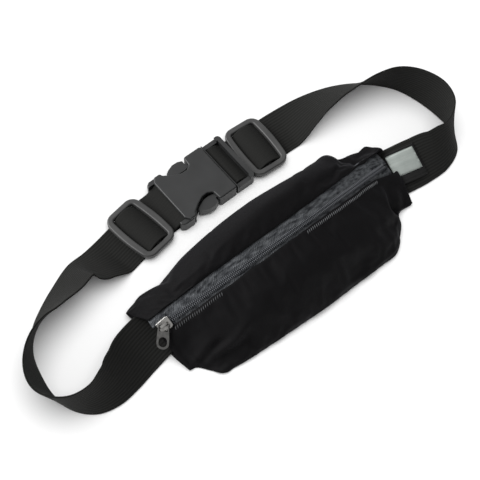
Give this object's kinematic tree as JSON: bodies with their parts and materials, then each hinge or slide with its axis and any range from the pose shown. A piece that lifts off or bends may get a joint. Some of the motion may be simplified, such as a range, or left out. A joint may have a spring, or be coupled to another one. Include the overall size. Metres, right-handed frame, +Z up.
{
  "type": "zipped waist pouch",
  "caption": "Slim zipped fabric waist pouch on an adjustable elastic webbing belt with a side-release buckle and triglide adjusters.",
  "frame": {"origin": "middle of the pouch's back panel, on the surface it rests on", "axes": "+X along the pouch and its zipper, away from the closed slider; +Y from the pouch to the buckle; +Z up, out of the pouch's zipped face"},
  "size_m": [0.3908, 0.1656, 0.0478],
  "materials": {
    "shell_fabric": "fine matt stretch weave, near black",
    "belt_webbing": "ribbed elastic webbing, black",
    "tab_ribbon": "woven ribbon, black",
    "reflective_strip": "grey glass-bead reflective tape",
    "zipper_tape": "woven tape with a slight grey sheen",
    "zipper_coil": "nylon coil, satin",
    "slider_metal": "gunmetal plated zinc, polished",
    "pull_metal": "gunmetal plated zinc",
    "buckle_plastic": "moulded acetal, fine matt texture",
    "triglide_plastic": "moulded acetal, satin"
  },
  "bodies": {
    "pouch": {"front_panel": "shell_fabric", "top_panel": "shell_fabric", "back_panel": "shell_fabric", "zipper_tape_upper": "zipper_tape", "zipper_tape_lower": "zipper_tape", "zipper_coil_upper": "zipper_coil", "zipper_coil_lower": "zipper_coil", "reflective_tab_backing": "tab_ribbon", "reflective_tab": "reflective_strip", "belt_strap_left": "belt_webbing", "belt_strap_right": "belt_webbing", "strap_loop_left": "belt_webbing", "buckle_socket": "buckle_plastic"},
    "zip_slider": {"slider_body": "slider_metal", "slider_bridge": "slider_metal"},
    "zip_pull": {"pull_tab": "pull_metal"},
    "buckle_male": {"buckle_plug": "buckle_plastic", "strap_loop_right": "belt_webbing"},
    "prong_near": {"plug_prong_near": "buckle_plastic"},
    "prong_far": {"plug_prong_far": "buckle_plastic"},
    "left_adjuster": {"triglide_left": "triglide_plastic", "triglide_web_left": "belt_webbing", "strap_end_left": "belt_webbing"},
    "right_adjuster": {"triglide_right": "triglide_plastic", "triglide_web_right": "belt_webbing", "strap_end_right": "belt_webbing"}
  },
  "joints": [
    {"name": "zip_travel", "type": "hinge", "parent": "pouch", "child": "zip_slider", "pos_m": [0, 0.07469, -0.14631], "axis": [0, 0.935, 0.3547], "range_deg": [0, 58.22], "deforming": ["zipper_coil_upper", "zipper_coil_lower", "zipper_tape_upper", "zipper_tape_lower"]},
    {"name": "pull_flip", "type": "hinge", "parent": "zip_slider", "child": "zip_pull", "pos_m": [-0.10415, 0.0109, 0.02186], "axis": [-0.6629, 0.7372, -0.131], "range_deg": [0, 150]},
    {"name": "buckle_release", "type": "slide", "parent": "pouch", "child": "buckle_male", "axis": [1, 0, 0], "range_m": [0, 0.036], "deforming": ["belt_strap_right", "plug_prong_near", "plug_prong_far"]},
    {"name": "button_near", "type": "hinge", "parent": "buckle_male", "child": "prong_near", "pos_m": [0.0068, 0.0774, 0.006], "axis": [0, 0, -1], "range_deg": [0, 8], "stiffness_Nm_per_rad": 1.2},
    {"name": "button_far", "type": "hinge", "parent": "buckle_male", "child": "prong_far", "pos_m": [0.0068, 0.1106, 0.006], "axis": [0, 0, 1], "range_deg": [0, 8], "stiffness_Nm_per_rad": 1.2},
    {"name": "left_adjust", "type": "slide", "parent": "pouch", "child": "left_adjuster", "axis": [0.9877, 0.1564, 0], "range_m": [-0.01, 0.003], "deforming": ["belt_strap_left", "strap_loop_left"]},
    {"name": "right_adjust", "type": "slide", "parent": "buckle_male", "child": "right_adjuster", "axis": [0.9981, -0.061, 0], "range_m": [0, 0.012], "deforming": ["belt_strap_right", "strap_loop_right"]}
  ]
}
